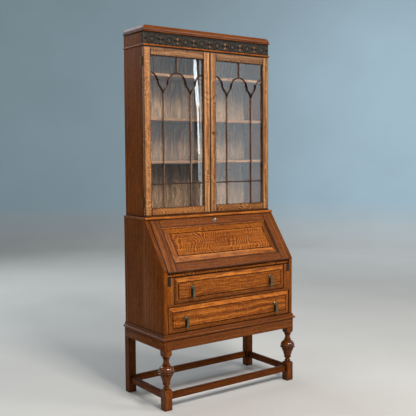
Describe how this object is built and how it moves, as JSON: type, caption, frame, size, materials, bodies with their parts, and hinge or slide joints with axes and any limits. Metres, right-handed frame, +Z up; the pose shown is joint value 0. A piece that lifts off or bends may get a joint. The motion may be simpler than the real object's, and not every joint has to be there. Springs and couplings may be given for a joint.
{
  "type": "secretary desk",
  "caption": "Oak secretary desk: a glazed bookcase with gothic tracery doors over a fall-front bureau with drawers, on a low stand with turned front legs and stretchers.",
  "frame": {"origin": "on the floor under the middle of the desk's bounding box", "axes": "+Z up, -Y the front that the user faces, +X to the right of someone facing that front"},
  "size_m": [0.941, 0.443, 2.032],
  "materials": {
    "oak": "warm brown stained oak with a satin wax polish, ray flecks on the quarter-sawn boards",
    "secondary_oak": "paler unpolished oak inside and behind",
    "carved_oak": "carved oak with a darkened ground",
    "ebonised": "blackened wood, satin",
    "brass": "dark antique patina, worn at the edges",
    "glass": "clear old sheet glass"
  },
  "bodies": {
    "carcass": {"leg_front_left": "oak", "leg_front_right": "oak", "leg_back_left": "oak", "leg_back_right": "oak", "apron_front": "oak", "apron_back": "oak", "apron_left": "oak", "apron_right": "oak", "stretcher_front": "oak", "stretcher_back": "oak", "stretcher_left": "oak", "stretcher_right": "oak", "base_board": "oak", "bureau_side_left": "oak", "bureau_side_right": "oak", "bureau_top": "oak", "bureau_back": "secondary_oak", "writing_bed": "oak", "drawer_divider": "oak", "loper_guide_left": "oak", "loper_guide_right": "oak", "pigeonhole_rack": "secondary_oak", "bookcase_side_left": "oak", "bookcase_side_right": "oak", "bookcase_top": "oak", "bookcase_bottom": "oak", "bookcase_back": "secondary_oak", "shelf_upper": "oak", "shelf_middle": "oak", "shelf_lower": "oak", "frieze": "carved_oak", "frieze_bead": "oak", "cornice": "oak"},
    "fall": {"fall_frame": "oak", "fall_panel": "oak", "fall_knob": "brass", "fall_hinge_left": "brass", "fall_hinge_right": "brass"},
    "door_left": {"door_left_frame": "oak", "door_left_glass": "glass", "door_hinge_upper_left": "brass", "door_hinge_lower_left": "brass"},
    "door_right": {"door_right_frame": "oak", "door_right_glass": "glass", "door_hinge_upper_right": "brass", "door_hinge_lower_right": "brass"},
    "upper_drawer": {"upper_drawer_front": "oak", "upper_drawer_box": "secondary_oak", "handle_plate_upper_left": "brass", "handle_plate_upper_right": "brass"},
    "lower_drawer": {"lower_drawer_front": "oak", "lower_drawer_box": "secondary_oak", "handle_plate_lower_left": "brass", "handle_plate_lower_right": "brass"},
    "handle_upper_left": {"handle_drop_upper_left": "brass"},
    "handle_upper_right": {"handle_drop_upper_right": "brass"},
    "handle_lower_left": {"handle_drop_lower_left": "brass"},
    "handle_lower_right": {"handle_drop_lower_right": "brass"},
    "loper_left": {"loper_left": "ebonised"},
    "loper_right": {"loper_right": "ebonised"}
  },
  "joints": [
    {"name": "fall_hinge", "type": "hinge", "parent": "carcass", "child": "fall", "pos_m": [0, -0.18712, 0.7195], "axis": [1, 0, 0], "range_deg": [0, 125.94]},
    {"name": "door_left_hinge", "type": "hinge", "parent": "carcass", "child": "door_left", "pos_m": [-0.4374, 0.0233, 1.465], "axis": [0, 0, -1], "range_deg": [0, 175]},
    {"name": "door_right_hinge", "type": "hinge", "parent": "carcass", "child": "door_right", "pos_m": [0.4374, 0.0233, 1.465], "axis": [0, 0, 1], "range_deg": [0, 175]},
    {"name": "upper_drawer_slide", "type": "slide", "parent": "carcass", "child": "upper_drawer", "axis": [0, -1, 0], "range_m": [0, 0.26]},
    {"name": "lower_drawer_slide", "type": "slide", "parent": "carcass", "child": "lower_drawer", "axis": [0, -1, 0], "range_m": [0, 0.26]},
    {"name": "loper_left_slide", "type": "slide", "parent": "carcass", "child": "loper_left", "axis": [0, -1, 0], "range_m": [0, 0.25]},
    {"name": "loper_right_slide", "type": "slide", "parent": "carcass", "child": "loper_right", "axis": [0, -1, 0], "range_m": [0, 0.25]},
    {"name": "handle_upper_left_swing", "type": "hinge", "parent": "upper_drawer", "child": "handle_upper_left", "pos_m": [-0.271, -0.217, 0.641], "axis": [-1, 0, 0], "range_deg": [0, 80]},
    {"name": "handle_upper_right_swing", "type": "hinge", "parent": "upper_drawer", "child": "handle_upper_right", "pos_m": [0.271, -0.217, 0.641], "axis": [-1, 0, 0], "range_deg": [0, 80]},
    {"name": "handle_lower_left_swing", "type": "hinge", "parent": "lower_drawer", "child": "handle_lower_left", "pos_m": [-0.311, -0.217, 0.48], "axis": [-1, 0, 0], "range_deg": [0, 80]},
    {"name": "handle_lower_right_swing", "type": "hinge", "parent": "lower_drawer", "child": "handle_lower_right", "pos_m": [0.311, -0.217, 0.48], "axis": [-1, 0, 0], "range_deg": [0, 80]}
  ]
}
